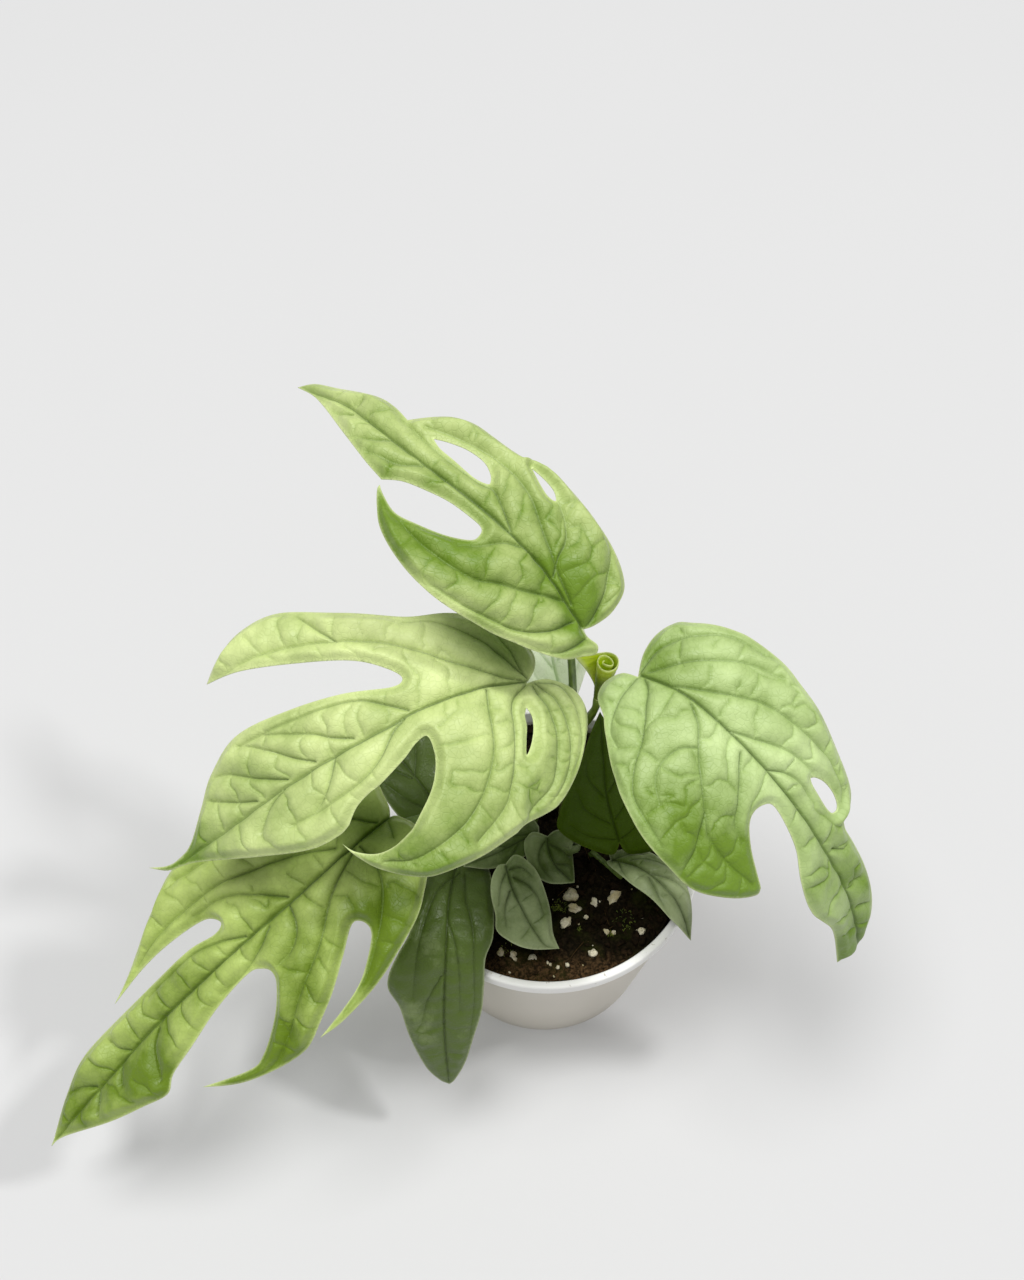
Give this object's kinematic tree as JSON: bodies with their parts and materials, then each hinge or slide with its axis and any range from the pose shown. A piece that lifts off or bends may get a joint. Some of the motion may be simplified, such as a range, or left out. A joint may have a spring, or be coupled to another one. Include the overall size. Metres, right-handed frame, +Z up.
{
  "type": "potted silver amydrium",
  "caption": "Young climbing aroid with silvery, slit and pierced leaves, dark young leaves and a rolled new leaf, in a white plastic nursery pot filled with soil.",
  "frame": {"origin": "centre of the pot's flat base, on the surface that it stands on", "axes": "+Z up out of the pot, +Y away from the side where the rim leaf hangs over the pot's front, +X towards the right leaf"},
  "size_m": [0.2544, 0.175, 0.2239],
  "materials": {
    "pot_plastic": "satin",
    "soil": "matte",
    "silver_leaf": "satin",
    "dark_leaf": "satin",
    "pale_leaf": "satin",
    "new_leaf": "satin",
    "stalk": "satin",
    "stem": "satin"
  },
  "bodies": {
    "root": {"pot": "pot_plastic", "soil": "soil", "stem": "stem", "top_blade": "silver_leaf", "top_petiole": "stalk", "left_blade": "silver_leaf", "left_petiole": "stalk", "lower_left_blade": "silver_leaf", "lower_left_petiole": "stalk", "right_blade": "silver_leaf", "right_petiole": "stalk", "rim_blade": "dark_leaf", "rim_petiole": "stalk", "front_blade": "dark_leaf", "front_petiole": "stalk", "centre_blade": "dark_leaf", "centre_petiole": "stalk", "inner_left_blade": "dark_leaf", "inner_left_petiole": "stalk", "inner_right_blade": "dark_leaf", "inner_right_petiole": "stalk", "right_rim_blade": "dark_leaf", "right_rim_petiole": "stalk", "hollow_blade": "dark_leaf", "hollow_petiole": "stalk", "back_blade": "pale_leaf", "back_petiole": "stalk", "new_leaf": "new_leaf", "new_leaf_petiole": "stalk"}
  },
  "joints": []
}
